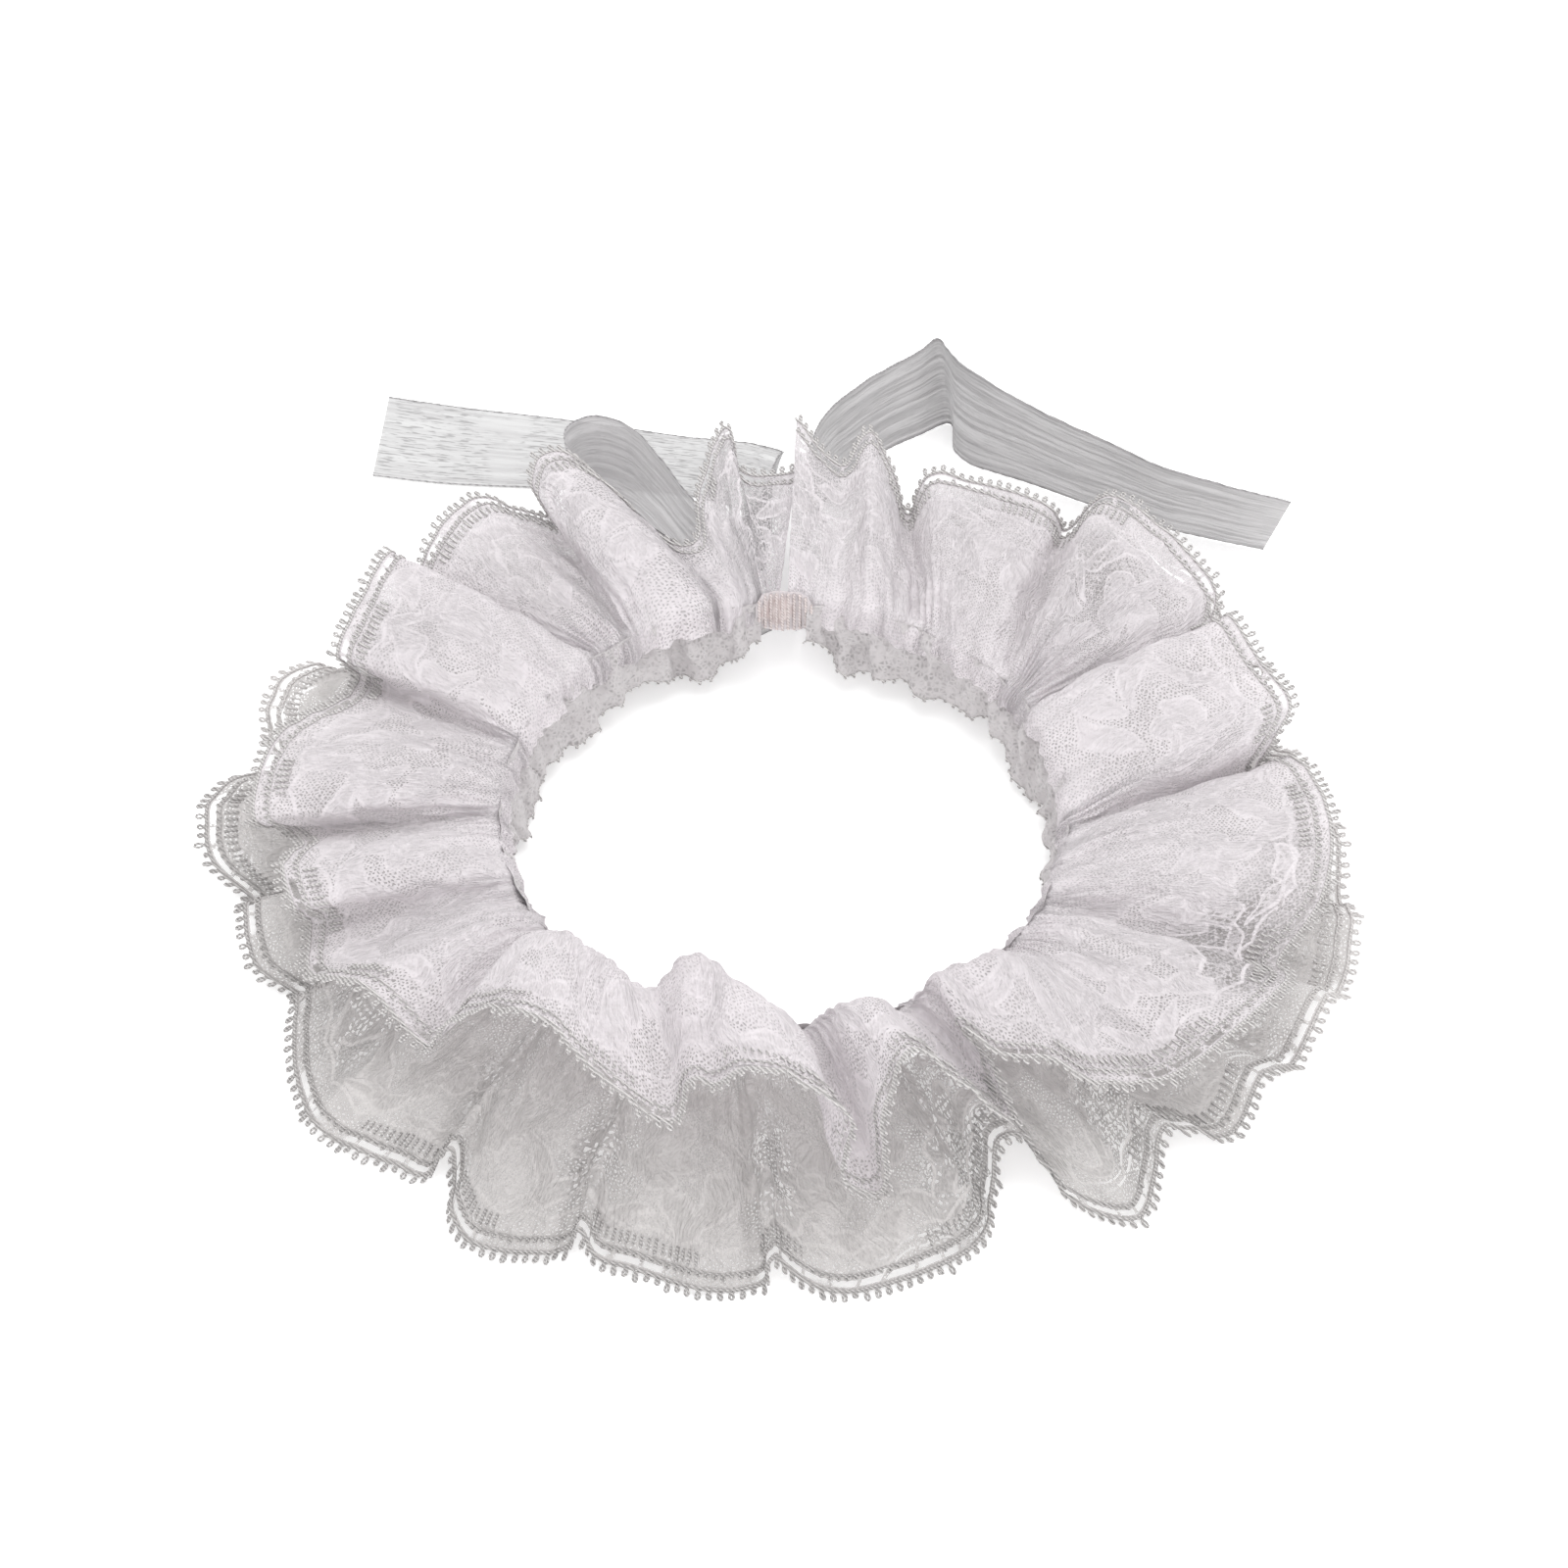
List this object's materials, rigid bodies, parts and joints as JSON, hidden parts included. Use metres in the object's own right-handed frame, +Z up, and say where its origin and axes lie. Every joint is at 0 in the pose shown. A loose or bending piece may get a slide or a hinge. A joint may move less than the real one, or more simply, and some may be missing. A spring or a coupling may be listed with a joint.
{
  "type": "ruffled lace collar",
  "caption": "Ruffled lace collar laid as a ring: two pleated lace tiers on a neck band with a gathered inner frill, and two sheer ribbon ties at the back.",
  "frame": {"origin": "middle of the whole part's bounding box in X and Y, on the surface that it lies on", "axes": "+Z up from the surface; +Y from the front of the collar to the back, where it closes and the ribbons start; +X to the right in the picture"},
  "size_m": [0.2402, 0.2648, 0.0513],
  "materials": {
    "lace": "matte openwork lace",
    "band_tape": "matte woven tape",
    "closure_thread": "matte sewn thread",
    "ribbon": "sheer ribbon with a soft sheen"
  },
  "bodies": {
    "root": {"upper_ruffle": "lace", "lower_ruffle": "lace", "inner_frill": "lace", "neck_band": "band_tape", "closure_patch": "closure_thread", "ribbon_left": "ribbon", "ribbon_right": "ribbon"}
  },
  "joints": []
}
